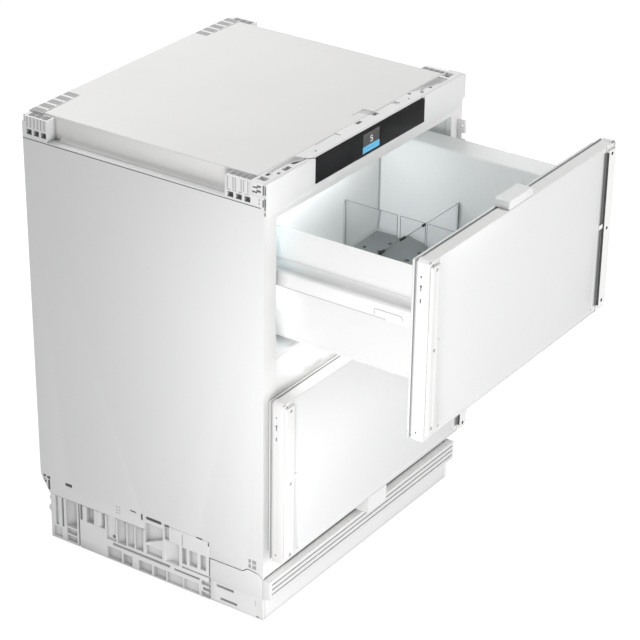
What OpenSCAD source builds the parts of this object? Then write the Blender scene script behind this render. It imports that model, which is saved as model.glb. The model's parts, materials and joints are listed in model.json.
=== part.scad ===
// Undercounter drawer refrigerator: an insulated cabinet with two pull-out
// drawer compartments, a machine compartment below them and a touch display
// above. X runs to the right seen from the front, the front faces -Y, Z is up.
// The origin lies on the floor, at mid width, in the plane of the front frame.
// All lengths are in millimetres.

/* [Cabinet] */
// Overall width of the cabinet
cab_w = 597; // [590:1:600]
// Overall height above the floor, feet screwed in
cab_h = 820; // [816:1:830]
// Depth of the cabinet body, front frame to back panel
cab_d = 498; // [494:1:520]
// Thickness of the sheet-metal side panels
sheet_t = 1.2; // [0.8:0.1:1.2]
// Wall thickness of the two inner liners
liner_t = 2.5; // [1.5:0.5:2.5]

/* [Drawers] */
// How far the upper drawer is pulled out
upper_open = 267; // [0:1:400]
// Thickness of the drawer fronts without their panel rails
front_t = 28; // [26:1:30]
// How far the panel rails stand proud of the front plate
rail_proud = 4.4; // [3:0.1:6]
// Width of the hollow groove between front plate and panel rail
groove_w = 12; // [8:1:14]

/* [Controls] */
// Width of the display glass
glass_w = 328; // [300:2:360]
// Height of the display glass
glass_h = 46; // [40:1:50]

/* [Base] */
// Radius of the screw-in front feet
foot_r = 18; // [14:1:19]
// Radius of the rear rollers
roller_r = 20; // [18:1:20]
// Number of fins on the vent grille
grille_fins = 3; // [3:1:4]

/* [Hidden] */
$fn = 48;

hw = cab_w / 2;          // half the cabinet width
ow = hw - 34.5;          // half the clear opening width
fw = hw - 3;             // half the width of a drawer front
tw = hw - 61.5;          // half the width of a drawer tub over its rim
iw = tw - 25;            // half the inner width of a drawer tub
zs = 779;                // top of the side panels
zf = 763;                // lower edge of the control fascia
zu0 = 495;  zu1 = 750;   // upper opening
zl0 = 150;  zl1 = 412;   // lower opening
fz_u = 769;              // top of the upper drawer front
fz_l = 435;              // top of the lower drawer front
front_h_u = 312;         // height of the upper front
front_h_l = 306;         // height of the lower front
gap = 10;                // closed front stands this far off the front frame
yf = -gap - front_t;     // plane of the front plate, drawer closed
ly = 420;                // inner depth of the liners
white = [0.93, 0.93, 0.92];

// box between two opposite corners
module bx(a, b) translate(a) cube([b[0] - a[0], b[1] - a[1], b[2] - a[2]]);
// box mirrored to both sides of the middle plane
module bx2(a, b) { bx(a, b); mirror([1, 0, 0]) bx(a, b); }
// outline given in Y and Z, extruded along X
module yz(x0, x1) translate([x0, 0, 0]) rotate([90, 0, 90]) linear_extrude(x1 - x0) children();
// outline given in X and Z, extruded along Y
module xz(y0, y1) translate([0, y1, 0]) rotate([90, 0, 0]) linear_extrude(y1 - y0) children();
// outline given in X and Y, extruded along Z
module xy(z0, z1) translate([0, 0, z0]) linear_extrude(z1 - z0) children();
module both() { children(); mirror([1, 0, 0]) children(); }
// cylinders along X and along Y
module cx(x0, x1, y, z, r) translate([x0, y, z]) rotate([0, 90, 0]) cylinder(r = r, h = x1 - x0);
module cy(x, y0, y1, z, r) translate([x, y1, z]) rotate([90, 0, 0]) cylinder(r = r, h = y1 - y0);

// ------------------------------------------------------------ outer casing
module side_sheet() {
    difference() {
        union() {
            yz(-hw, -hw + sheet_t) polygon([[0, 85.6], [9, 93], [28, 95.4], [33, 95.2], [42, 88.2], [112, 87.2],
                [112, 118], [255, 118], [255, 93], [471.5, 91], [cab_d - 6.7, 126], [cab_d, zs], [0, zs]]);
            bx([-hw + 0.6, 12.3, zs - 1.2], [-ow - 12.2, cab_d - 1.5, zs]);
        }
        for (y = [14, 25], z = [99, 109]) bx([-hw - 1, y, z], [-hw + 3, y + (y == 14 ? 8 : 5), z + 7.5]);
        for (s = [[419, 434, 119, 125], [274, 287, 119, 121.5], [259, 262.5, 110, 122], [218, 251, 115, 121],
                  [200, 209, 116, 119.5], [129, 141, 117, 119.5], [113, 117, 109, 118.5],
                  [479, 484.5, 114.5, 122.5], [470.4, 473.6, 99, 124]])
            bx([-hw - 1, s[0], s[2]], [-hw + 3, s[1], s[3]]);
    }
}
module left_side_panel() color([0.90, 0.90, 0.90]) side_sheet();
module right_side_panel() color([0.90, 0.90, 0.90]) mirror([1, 0, 0]) side_sheet();
module back_panel() color([0.75, 0.76, 0.77]) difference() {
    bx([-hw + 1.3, cab_d - 8, 126.2], [hw - 1.3, cab_d - 6.8, zs - 1.6]);
    for (x = [-180:90:180]) bx([x - 30, cab_d - 7.3, 200], [x + 30, cab_d, 700]);
}
module top_plate() color([0.88, 0.88, 0.87]) difference() {
    bx([-ow - 12, 28.2, zs + 0.1], [ow + 12, cab_d, cab_h]);
    bx([-ow - 10.5, 29.7, zs - 5], [ow + 10.5, cab_d - 1.5, cab_h - 1.5]);
    both() bx([-ow - 13, cab_d - 28.2, cab_h - 20.2], [-171.8, cab_d + 1, cab_h + 1]);
}
// left hand pair of corner blocks: front and rear
module corner_pair() {
    difference() {
        union() {
            bx([-hw, 0.2, zs + 0.1], [-ow - 12.2, 77, 796.8]);
            bx([-hw, 28.2, 796.8], [-ow - 12.2, 77, cab_h - 3]);
        }
        for (y = [33, 49.5, 66]) bx([-hw - 1, y - 5.8, 781.4], [-hw + 9, y + 5.8, 790.8]);
        for (y = [31, 39.5, 44, 55.5, 60, 71]) bx([-hw - 1, y, 796.6], [-hw + 1.2, y + 1.6, cab_h - 6]);
        for (y = [30, 42, 54, 66]) bx([-hw - 1, y, 793.6], [-hw + 1, y + 8, 795]);
        // cells in the top face
        for (k = [0:3]) bx([-288, 30.5 + 11.5 * k, cab_h - 12], [-278.2, 40.8 + 11.5 * k, cab_h]);
        bx([-hw - 1, 9, 783], [-hw + 3, 11, 786]);
        bx([-hw - 1, 9, 789], [-hw + 3, 10.4, 793]);
    }
    difference() {
        union() {
            bx([-hw, cab_d - 53, zs + 0.1], [-ow - 12.2, cab_d - 6, cab_h - 3]);
            bx([-hw + 4, cab_d - 8, zs + 0.1], [-ow - 12.2, cab_d, cab_h - 3]);
            bx([-hw, cab_d - 8, zs + 0.1], [-ow - 12.2, cab_d, cab_h - 14]);
            bx([-ow - 12.2, cab_d - 28, cab_h - 20], [-172, cab_d, cab_h]);
            bx([-hw + 20, cab_d - 28, cab_h - 20], [-ow - 12.2, cab_d, cab_h]);
        }
        for (y = [452, 467.6, 483.2]) bx([-hw - 1, y - 5.6, 784.6], [-hw + 9, y + 5.6, 794.4]);
        for (y = [449, 456, 463, 470.6, 478.5, 486]) bx([-hw - 1, y, 799], [-hw + 1.2, y + 1.8, cab_h - 5]);
        // cells in the top face and in the crosspiece that leads to the middle
        for (k = [0:2]) bx([-293, cab_d - 50 + 14.2 * k, cab_h - 12], [-279.5, cab_d - 37.2 + 14.2 * k, cab_h + 1]);
        for (k = [0:3]) bx([-190.8 - 21.2 * k, cab_d - 26.6, cab_h - 9], [-180 - 21.2 * k, cab_d - 1.2, cab_h + 1]);
        bx([-274.6, cab_d - 26.6, cab_h - 9], [-265, cab_d - 1.2, cab_h + 1]);
    }
}
module top_corner_blocks() color([0.91, 0.91, 0.90]) both() corner_pair();

// foam fills the space between the sheet metal skin and the liners
module cabinet_foam() color([0.93, 0.88, 0.70]) difference() {
    union() {
        bx([-hw + 1.3, 12.3, 126.2], [hw - 1.3, cab_d - 8.1, zs - 1.3]);
        bx([-ow - 10.4, 29.8, zs - 1.3], [ow + 10.4, cab_d - 14, cab_h - 1.6]);
    }
    bx([-ow - liner_t - 0.1, 0, zu0 - liner_t - 0.1], [ow + liner_t + 0.1, ly + liner_t + 0.1, zu1 + liner_t + 0.1]);
    bx([-ow - liner_t - 0.1, 0, zl0 - liner_t - 0.1], [ow + liner_t + 0.1, ly + liner_t + 0.1, zl1 + liner_t + 0.1]);
    bx([-200, 400, 508], [200, 459, zu1 + liner_t + 0.1]);
    both() bx([-ow - 13, cab_d - 28.4, cab_h - 20.4], [-171.6, cab_d + 1, cab_h + 1]);
}
module liner(z0, z1) difference() {
    bx([-ow - liner_t, 12.2, z0 - liner_t], [ow + liner_t, ly + liner_t, z1 + liner_t]);
    bx([-ow, 0, z0], [ow, ly, z1]);
}
module upper_liner() color([0.90, 0.93, 0.94]) difference() {
    liner(zu0, zu1);
    cy(0, ly - 5, ly + 5, 690, 49);
    for (k = [0:5]) bx([-150, ly - 5, 520 + 14 * k], [150, ly + 5, 526 + 14 * k]);
}
module lower_liner() color([0.90, 0.93, 0.94]) difference() {
    liner(zl0, zl1);
    for (k = [0:3]) bx([-60, ly - 5, 340 + 14 * k], [60, ly + 5, 346 + 14 * k]);
}
module front_frame() color(white) difference() {
    union() {
        bx([-hw + 1.3, 0, 85.6], [hw - 1.3, 12, zs]);
        bx([-ow - 12, 0, zs], [ow + 12, 12, 796.8]);
    }
    bx([-ow, -1, zl0], [ow, 13, zu1]);
}
module mullion() color(white) difference() {
    bx([-ow, 0, zl1], [ow, 12, zu0]);
    // shallow outline of the service cover
    difference() {
        bx([-183, -1, 432], [-130, 0.8, 476]);
        bx([-181.6, -2, 433.4], [-131.4, 2, 474.6]);
    }
}

// --------------------------------------------------------- controls and top
module control_fascia() color([0.94, 0.94, 0.95]) difference() {
    xz(-5, -0.1) polygon([[-hw, zf], [hw - 17, zf], [hw - 17, zf + 10], [hw, zf + 14], [hw, cab_h], [-hw, cab_h]]);
    bx([-glass_w / 2 - 0.2, -6, cab_h - glass_h - 0.2], [glass_w / 2 + 0.2, -3.2, cab_h + 1]);
    bx([-34, -4, cab_h - 39], [28, 1, cab_h - 5]);
    for (s = [[766, 772], [775, 795], [802, 817]]) both() bx([-hw - 1, -2.8, s[0]], [-hw + 6, 1, s[1]]);
}
module display_glass() color([0.06, 0.06, 0.07])
    xz(-5.6, -3.3) polygon([[-glass_w / 2, cab_h - glass_h], [glass_w / 2, cab_h - glass_h],
        [glass_w / 2, cab_h - 7], [glass_w / 2 - 5, cab_h], [-glass_w / 2, cab_h]]);
module display_module() color([0.15, 0.2, 0.22]) difference() {
    bx([-33, -3.1, cab_h - 38.5], [27, -0.2, cab_h - 5.5]);
    bx([-20, -2, cab_h - 39], [14, 0, cab_h - 36]);
}
module top_trim() color([0.93, 0.93, 0.91]) difference() {
    bx([-hw, 0.2, 797], [hw, 28, cab_h]);
    // pockets in the top face: [x0, x1, y0, y1, depth]
    for (q = [[-287, -274, 7, 23, 10], [-268, -258, 15.5, 22, 6], [-253, -245, 5.5, 10, 5], [-235, -217, 4, 13, 5],
              [-6, 8, 19, 26, 5], [42, 56, 17, 26.8, 9], [112, 116, 14, 26, 2.5], [157, 163, 21, 26.8, 5],
              [176, 184, 8.5, 12.5, 5], [203, 210, 8.5, 12.5, 5], [232, 258, 7, 26, 8], [265, 285, 10, 26.5, 10]])
        bx([q[0], q[2], cab_h - q[4]], [q[1], q[3], cab_h + 1]);
    // slanting grooves, the ramp on the left and the steps behind the display
    xy(cab_h - 3, cab_h + 1) polygon([[-253, 17.8], [-178, 24.8], [-178, 26.4], [-253, 19.4]]);
    xy(cab_h - 2.5, cab_h + 1) polygon([[-206, 8], [-178, 5], [-172, 9], [-180, 22.5], [-206, 19.5]]);
    xy(cab_h - 3, cab_h + 1) polygon([[179, 14], [228, 21], [228, 22.6], [179, 15.6]]);
    bx([-121, 16, cab_h - 1.5], [-60, 29, cab_h + 1]);
    bx([59, 16, cab_h - 1.5], [109, 29, cab_h + 1]);
    both() {
        // hook shaped slots in the side face
        bx([-hw - 1, 7, 812], [-hw + 4, 15, 815.5]);
        bx([-hw - 1, 13, 809.5], [-hw + 4, 23, 812]);
        bx([-hw - 1, 7, 803.5], [-hw + 4, 16, 807.5]);
        bx([-hw - 1, 14, 801], [-hw + 4, 24, 804]);
        // screw holes for the worktop brackets
        translate([-140, 12, 790]) cylinder(r = 2.2, h = 40);
    }
}

// --------------------------------------------------------------------- base
module base_side() {
    difference() {
        union() {
            bx([-hw, 112.4, 1], [-hw + 15.5, 255, 117.6]);
            bx([-hw, 255, 1], [-hw + 15.5, 470, 90.8]);
            bx([-hw + 1.4, 112.4, 90], [-hw + 5, 496, 126]);
            cx(-hw + 1, -hw + 9, 468, 81.5, 5.4);
            cx(-hw + 1, -hw + 9, 467.5, 60, 8);
            bx([-hw + 1, 462, 52], [-hw + 9, 472, 60]);
        }
        // recesses in the outer face: [y0, y1, z0, z1, depth]
        for (q = [[440.5, 445, 30, 90, 7], [403.4, 406.6, 1, 90, 7], [453, 459, 30, 90, 3.5],
                  [411, 434, 5, 17, 6], [411, 434, 20, 32, 6], [446, 464, 5, 26, 4],
                  [345.5, 402, 60, 100, 10], [320, 341.5, 42, 100, 4],
                  [215, 254, 62, 108, 10], [217, 252, 44, 64, 6], [201, 211, 89, 117, 6], [171.5, 173, 89, 112, 2],
                  [163, 173, 53, 86, 8], [140, 157, 55, 86, 8], [121, 133, 56, 86, 8], [110, 114.6, 3, 88, 7],
                  [200, 328, 33.2, 38.8, 4.5], [135, 191, 32.6, 36.6, 4.5], [114.6, 174, 44, 48, 3],
                  [309, 341, 3, 27, 8], [285, 305, 3, 24, 8], [241, 270, 3, 24, 8], [209, 236, 3, 24, 8],
                  [172, 206, 3, 24, 5], [137, 169, 3, 24, 5],
                  [112, 131, 26, 35, 6], [112, 128, 15.5, 22.5, 6], [112, 131, 3, 12, 6]])
            bx([-hw - 1, q[0], q[2]], [-hw + q[4], q[1], q[3]]);
        // upright fluted recesses: [centre y, radius, z0, z1, inset of the axis]
        for (q = [[422.5, 12.4, 35, 90, 1], [307, 10, 42, 100, 1], [286.5, 7.6, 44, 100, 1], [267.5, 8.6, 44, 100, 1],
                  [195, 17, 44, 88, -7]])
            translate([-hw + q[4], q[0], q[2]]) cylinder(r = q[1], h = q[3] - q[2]);
        translate([-hw - 1, 328, 49]) rotate([25, 0, 0]) rotate([0, 90, 0]) cylinder(r = 3.6, h = 14);
        // same slots as in the side panel above
        for (s = [[419, 434, 119, 125], [274, 287, 119, 121.5], [259, 262.5, 110, 122], [218, 251, 115, 121],
                  [200, 209, 116, 119.5], [129, 141, 117, 119.5]])
            bx([-hw - 1, s[0], s[2]], [-hw + 20, s[1], s[3]]);
        // cut behind the sloping rear edge of the panel
        yz(-hw - 1, -hw + 20) polygon([[469, 88], [491, 126.5], [500, 126.5], [500, 88]]);
        // pocket that clears the roller and the end of its axle
        cx(-hw + 11.5, -hw + 20, 440, 20, 4.6);
    }
    // dome and flat piece in the roof recess
    intersection() {
        translate([-hw + 11.5, 364.5, 59.8]) cylinder(r = 12.5, h = 31);
        bx([-hw + 0.4, 340, 55], [-hw + 10.2, 390, 95]);
    }
    bx([-hw + 0.2, 387.5, 59.8], [-hw + 10.2, 397, 90.8]);
    // sloping floor of the large recess
    yz(-hw + 0.5, -hw + 10.2) polygon([[215, 61.8], [254, 61.8], [254, 66], [215, 84]]);
}
module left_base_side() color([0.90, 0.90, 0.89]) base_side();
module right_base_side() color([0.90, 0.90, 0.89]) mirror([1, 0, 0]) base_side();

module plinth_block() difference() {
    union() {
        yz(-hw, -hw + 1.2) polygon([[0.2, 46], [112, 46], [112, 85.6], [42, 86.6], [33, 93.6], [28, 93.8], [9, 91.4],
            [0.2, 84.6]]);
        yz(-hw + 1.2, -230) polygon([[2.4, 46], [112, 46], [112, 83.6], [2.4, 83.6]]);
        bx([-hw + 0.8, 2.4, 1.5], [-230, 112, 46]);
        bx([-hw, 0.2, 1.5], [-290.2, 2.4, 84.6]);
    }
    // hollow around the foot
    translate([-255, 40, -1]) cylinder(r = 19.6, h = 11);
    translate([-255, 40, 5]) cylinder(r = 5.08, h = 90);
    // two slots and small notches in the outer face
    bx([-hw - 1, 62, 33.4], [-hw + 7, 99, 38.4]);
    bx([-hw - 1, 55, 9], [-hw + 7, 91, 14]);
    bx([-hw - 1, 15.4, 24], [-hw + 2, 16.8, 36]);
    bx([-hw - 1, 8, 3], [-hw + 4, 14, 6]);
    // open hollow on the inside
    bx([-275, 64, 12], [-229, 108, 82]);
}
module plinth_blocks() color([0.92, 0.92, 0.91]) both() plinth_block();

module base_tray() color([0.62, 0.64, 0.66]) union() {
    difference() {
        xy(14, 17) polygon([[-228, 20], [228, 20], [228, 113], [282.9, 113], [282.9, 410], [260, 410], [260, 470],
            [-260, 470], [-260, 410], [-282.9, 410], [-282.9, 113], [-228, 113]]);
        for (x = [-150:30:60]) translate([x, 300, 10]) cylinder(r = 4, h = 10);
    }
    bx([-228, 20, 17], [228, 22, 26]);
    bx([-178, 468, 17], [260, 470, 34]);
    both() bx([-281, 115, 17], [-279, 408, 34]);
}
module plinth_panel() color([0.91, 0.91, 0.90]) union() {
    bx([-290, 0.2, 1.5], [290, 2.2, 46.6]);
    bx([-228, 2.2, 8], [228, 10, 10]);
    bx([-228, 2.2, 40], [228, 10, 42]);
}
module vent_grille() color([0.90, 0.90, 0.89]) let (p = 29.1 / grille_fins) union() {
    bx([-hw, -15, 47], [-hw + 7.5, -0.1, 84]);
    bx([-hw, -15, 77.1], [hw, -9, 84]);
    bx([-hw, -9.5, 81.4], [hw, -0.1, 84]);
    for (k = [0:grille_fins - 1]) yz(-hw + 7, hw - 2)
        polygon([[-15, 48 + p * k], [-15, 48 + p * k + 0.7 * p], [-8, 49 + p * k + 0.7 * p], [-8, 49 + p * k]]);
    for (x = [-150, 0, 150, hw - 12]) bx([x - 1.5, -8.5, 48.5], [x + 1.5, -5.5, 82]);
}

// ------------------------------------------------------ machine compartment
module compressor() color([0.13, 0.13, 0.14]) {
    translate([150, 396, 0]) rotate_extrude($fn = 64) polygon([[0, 22], [52, 22], [60, 28], [63, 40], [63, 62],
        [66, 62], [66, 66], [63, 66], [62, 88], [54, 104], [36, 113], [0, 115]]);
    bx([86, 336, 19.5], [214, 456, 22.5]);
    for (x = [94, 206], y = [344, 448]) translate([x, y, 17.1]) cylinder(r = 8, h = 8);
    translate([84, 380, 50]) rotate([0, 90, 0]) cylinder(r = 4, h = 20);
    bx([200, 372, 44], [222, 420, 88]);
}
module condenser() color([0.30, 0.31, 0.32]) {
    for (k = [0:15]) bx([-245 + 12 * k, 120, 20], [-243.6 + 12 * k, 200, 108]);
    for (y = [130, 150, 170, 190], z = [32, 64, 96]) cx(-250, -58, y, z, 3.6);
    both_ends();
}
module both_ends() for (x = [-251, -60]) bx([x, 118, 17.1], [x + 2, 202, 110]);
module condenser_fan_frame() color([0.20, 0.20, 0.21]) difference() {
    union() {
        difference() {
            bx([-46, 112, 17.1], [-22, 208, 113.1]);
            cx(-47, -21, 160, 65, 44);
        }
        for (a = [0, 120, 240]) translate([-44.5, 160, 65]) rotate([a, 0, 0]) bx([-1.5, -2.5, 0], [1.5, 2.5, 45]);
        cx(-46, -40.5, 160, 65, 13);
        cx(-41, -24, 160, 65, 2.5);
    }
    for (y = [118, 202], z = [23, 107]) cx(-47, -21, y, z, 2.1);
}
// rotor along X or along Y: hub with flat pitched blades
module rotor_shape(r, h, n) difference() {
    union() {
        cylinder(r = 12, h = h);
        for (a = [0:n - 1]) rotate([0, 0, a * 360 / n]) translate([8, 0, h / 2]) rotate([34, 0, 0])
            bx([0, -9, -0.9], [r - 8.8, 9, 0.9]);
    }
    translate([0, 0, -1]) cylinder(r = 2.55, h = h + 2);
}
module condenser_fan_rotor() color([0.16, 0.16, 0.17]) translate([-39.8, 160, 65]) rotate([0, 90, 0])
    rotor_shape(42, 14, 7);
module evaporation_tray() color([0.22, 0.22, 0.23]) difference() {
    bx([-250, 232, 17.1], [-60, 400, 52]);
    bx([-247, 235, 20], [-63, 397, 60]);
}
module mains_inlet() color([0.12, 0.12, 0.13]) {
    difference() {
        union() {
            bx([-250, 467, 17.1], [-182, 470, 96]);
            bx([-250, 440, 17.1], [-182, 467, 19.6]);
            bx([-230, 470, 62], [-202, 489, 86]);
            bx([-242, 470, 58], [-190, 473, 90]);
        }
        bx([-227.5, 474, 65], [-204.5, 490, 83]);
        for (x = [-237, -195]) cy(x, 460, 480, 74, 1.6);
    }
    for (x = [-223, -216, -209]) bx([x - 1, 472, x == -216 ? 76 : 70], [x + 1, 482, x == -216 ? 80 : 74]);
}
module evaporator() color([0.78, 0.80, 0.82]) {
    for (k = [0:24]) bx([-168 + 14 * k, 428, 514], [-167 + 14 * k, 454, 632]);
    for (y = [434, 448], z = [526, 552, 578, 604]) cx(-176, 176, y, z, 3.6);
    for (x = [-178, 176]) bx([x, 426, 511], [x + 2, 456, 636]);
}
module evaporator_cover() color([0.91, 0.93, 0.94]) union() {
    difference() {
        bx([-190, 408, 600], [190, ly - 0.1, 742]);
        bx([-187, 411, 603], [187, ly + 1, 739]);
        for (k = [-4:4]) let (half = sqrt(46 * 46 - 100 * k * k))
            bx([-half, 400, 690 + 10 * k - 2], [half, 412, 690 + 10 * k + 2]);
        for (s = [-1, 1], k = [0:5]) bx([s * 120 - 35, 400, 625 + 18 * k], [s * 120 + 35, 412, 629 + 18 * k]);
    }
    cy(0, 410.5, 431, 690, 11);
    cy(0, 430, 448, 690, 2.5);
}
module evaporator_fan_rotor() color([0.82, 0.84, 0.86]) translate([0, 431.6, 690]) rotate([-90, 0, 0])
    rotor_shape(46, 14, 7);
module led_lamp() color([0.96, 0.98, 1.0]) difference() {
    bx([-ow, 40, 668], [-ow + 7, 70, 742]);
    for (k = [0:5]) bx([-ow + 6, 43, 674 + 11 * k], [-ow + 8, 67, 677 + 11 * k]);
}

// ---------------------------------------------- catches, axles, fixed rails
module drawer_catches() color([0.93, 0.93, 0.93]) {
    for (z = [694, 360]) difference() {
        bx([ow + 21.2, -15, z], [ow + 26, -0.05, z + 43]);
        cx(ow + 20, ow + 28, -9, z + 33, 3);
        bx([ow + 20, -16, z + 8], [ow + 28, -8, z + 20]);
    }
}
module roller_axles() color([0.65, 0.66, 0.68]) both() difference() {
    union() {
        cx(-286.8, -262, 440, 20, 4);
        bx([-262, 428, 6], [-260.2, 452, 30]);
    }
    bx([-263, 426, 14], [-259, 430, 17.2]);
}
module fixed_rail_set(dz) both() {
    bx([-ow, 14, 618 + dz], [-ow + 15.5, 400, 624 + dz]);
    bx([-ow + 12, 14, 618 + dz], [-ow + 15.5, 400, 648 + dz]);
}
module fixed_rails() color([0.88, 0.89, 0.90]) {
    fixed_rail_set(0);
    fixed_rail_set(-334);
}
module mid_rail_set(dz) both() difference() {
    bx([-ow + 17, 15, 630 + dz], [-ow + 23, 355, 650 + dz]);
    for (k = [0:5]) bx([-ow + 16, 40 + 52 * k, 637 + dz], [-ow + 24, 70 + 52 * k, 643 + dz]);
}
module upper_mid_rails() color([0.75, 0.76, 0.78]) translate([0, -upper_open / 2, 0]) mid_rail_set(0);
module lower_mid_rails() color([0.75, 0.76, 0.78]) mid_rail_set(-334);

// --------------------------------------------------------- feet and rollers
module front_foot() {
    translate([-255, 40, 0]) cylinder(r = foot_r - 1.5, h = 1.6);
    translate([-255, 40, 1.5]) cylinder(r = foot_r, h = 5);
    translate([-255, 40, 6]) cylinder(r = 5, h = 74);
}
module left_front_foot() color([0.25, 0.25, 0.26]) front_foot();
module right_front_foot() color([0.25, 0.25, 0.26]) mirror([1, 0, 0]) front_foot();
module rear_roller() difference() {
    union() {
        cx(-280.6, -264.6, 440, 20, roller_r);
    }
    cx(-290, -260, 440, 20, 4.06);
    for (a = [0:5]) translate([0, 440, 20]) rotate([60 * a, 0, 0]) cx(-290, -279, 0, 12, 3);
}
module left_rear_roller() color([0.80, 0.80, 0.80]) rear_roller();
module right_rear_roller() color([0.80, 0.80, 0.80]) mirror([1, 0, 0]) rear_roller();

// ------------------------------------------------------------ drawer fronts
// zt is the top of the front, h its height; drawn closed
module front_casing(zt, h) difference() {
    union() {
        xz(yf, -17) polygon([[-fw, zt - h], [fw, zt - h], [fw, zt - 3], [fw - 3, zt], [-fw + 3, zt], [-fw, zt - 3]]);
        both() xz(yf + 2, -17) polygon([[fw, zt - 9], [fw, zt - 3], [fw - 3.5, zt + 2], [fw - 11, zt + 2],
            [fw - 13, zt - 1], [fw - 13, zt - 9]]);
    }
    // recess for the plate and the hollow behind it
    bx([-ow - 3, yf - 1, zt - h + 1], [ow + 3, yf + 1.4, zt - 1]);
    bx([-ow - 3, yf - 1, zt - h + 12], [ow + 3, -19.5, zt - 12]);
    // pilot holes behind the panel rails
    for (z = [zt - 16, zt - 154.5, zt - 293]) both() cy(-279, yf - 1, yf + 12, z, 1.6);
    both() cy(-271, yf - 1, yf + 4, zt - 25, 1.5);
    // small holes in the side faces
    both() {
        cx(-fw - 1, -fw + 6, -24, zt - 27, 1.5);
        cx(-fw - 1, -fw + 6, -24, zt - 43, 2.1);
        bx([-fw - 1, -25, zt - 51], [-fw + 6, -23.2, zt - 43]);
        bx([-fw - 1, -25.2, zt - 71], [-fw + 5, -23, zt - 64]);
        cx(-fw - 1, -fw + 6, -24, zt - h + 13, 1.6);
    }
}
module front_sheet(zt, h) difference() {
    bx([-ow - 2.7, yf, zt - h + 1.2], [ow + 4 - groove_w, yf + 1.2, zt - 1.2]);
    both() cy(-ow + 14, yf - 1, yf + 3, zt - h + 10, 1.5);
}
module front_back_panel(zt, h) difference() {
    union() {
        bx([-fw, -11.8, zt - h + 0.5], [fw, -gap, zt - 0.5]);
        bx([-fw + 5, -16.9, zt - h + 5], [fw - 5, -11.8, zt - 5]);
    }
    bx([ow + 19, -18, zt - 79], [ow + 28, -9, zt - 28]);
}
module gasket(zt, h) difference() {
    bx([-ow - 20, -gap + 0.2, zt - h + 7], [ow + 20, -0.4, zt - 7]);
    bx([-ow - 4, -gap - 1, zt - h + 17], [ow + 4, 1, zt - 17.5]);
}
module panel_rails(zt, h) both() difference() {
    union() {
        bx([-291, yf - rail_proud, zt - h + 10], [-269, yf - 0.05, zt - 9]);
        // clip that bridges the groove at mid height
        bx([-269, yf - 1.5, zt - 152], [-256.2, yf - 0.05, zt - 144]);
    }
    for (z = [zt - 16, zt - 154.5, zt - 293]) cy(-279, yf - rail_proud - 1, yf + 1, z, 2.2);
}
module rib_tab_up(zt) difference() {
    xz(yf, -gap - 0.2) polygon([[-58, zt + 0.1], [20, zt + 0.1], [15.5, zt + 14], [12, zt + 16], [-54, zt + 16], [-57, zt + 14]]);
    xz(yf + 3, -gap - 3) polygon([[-54.5, zt - 1], [16, zt - 1], [12, zt + 12.5], [-53, zt + 12.5]]);
}
module rib_tab_down(zb) difference() {
    bx([-31, yf, zb - 31], [27, -gap - 0.2, zb - 0.1]);
    bx([-28, yf + 3, zb - 28], [24, -gap - 3, zb + 1]);
}
module tub(dz) translate([0, 0, dz]) difference() {
    // trough with a rim that slopes outwards and a skirt below it
    xz(-gap + 0.1, 385) polygon([[-tw, 656.4], [-tw + 3, 656.4], [-tw + 3, 719], [-iw - 4, 709], [-iw - 4, 509],
        [iw + 4, 509], [iw + 4, 709], [tw - 3, 719], [tw - 3, 656.4], [tw, 656.4], [tw, 724.5], [-tw, 724.5]]);
    xz(-gap + 4.1, 381) polygon([[-iw, 514], [iw, 514], [iw, 711], [tw + 24.9, 738], [-tw - 24.9, 738], [-iw, 711]]);
}
module drawer_rails(dz) both() translate([0, 0, dz]) {
    bx([-ow + 5, -gap + 0.1, 653], [-iw - 4.4, 372, 656]);
    bx([-ow + 5, -gap + 0.1, 628], [-ow + 7.5, 372, 656]);
    bx([-tw - 2.5, -gap + 0.1, 628], [-tw, 372, 656]);
    // raised latch housing near the front end
    bx([-ow + 3.6, 28, 631], [-ow + 6, 85, 643]);
}
module floor_mat(dz) difference() {
    bx([-iw + 5, 0, 514.1 + dz], [iw - 5, 378, 519 + dz]);
    for (x = [-177.5:71:177.5], y = [30:60:360]) translate([x, y, 510 + dz]) cylinder(r = 4.5, h = 12);
}

module at_upper() translate([0, -upper_open, 0]) children();
module upper_front_frame() color(white) at_upper() front_casing(fz_u, front_h_u);
module upper_front_plate() color([0.95, 0.95, 0.95]) at_upper() front_sheet(fz_u, front_h_u);
module upper_front_liner() color([0.90, 0.91, 0.92]) at_upper() front_back_panel(fz_u, front_h_u);
module upper_gasket() color([0.93, 0.93, 0.92]) at_upper() gasket(fz_u, front_h_u);
module upper_furniture_rails() color([0.90, 0.90, 0.90]) at_upper() panel_rails(fz_u, front_h_u);
module upper_centre_tab() color(white) at_upper() rib_tab_up(fz_u);
module upper_drawer_tub() color([0.95, 0.95, 0.95]) at_upper() tub(0);
module upper_drawer_rails() color([0.93, 0.93, 0.93]) at_upper() drawer_rails(0);
module upper_floor_mat() color([0.55, 0.57, 0.58]) at_upper() floor_mat(0);
module long_divider() color([0.80, 0.86, 0.87, 0.4]) at_upper() difference() {
    bx([103, -5, 519.1], [105, 380.8, 618]);
    bx([102, 211.3, 567.5], [106, 214.7, 619]);
}
module cross_divider() color([0.80, 0.86, 0.87, 0.4]) at_upper() difference() {
    bx([-45, 212, 519.4], [iw - 0.5, 214, 618]);
    bx([102.3, 211, 519], [105.7, 215, 569.5]);
}
module divider_clips() color([0.10, 0.10, 0.11]) at_upper() for (x = [-45, 20, 91]) difference() {
    bx([x, 210.4, 613], [x + (x > 60 ? 9 : 17), 215.6, 620]);
    bx([x - 1, 211.95, 607], [x + 19, 214.05, 618.05]);
}
module lower_front_frame() color(white) front_casing(fz_l, front_h_l);
module lower_front_plate() color([0.95, 0.95, 0.95]) front_sheet(fz_l, front_h_l);
module lower_front_liner() color([0.90, 0.91, 0.92]) front_back_panel(fz_l, front_h_l);
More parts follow.
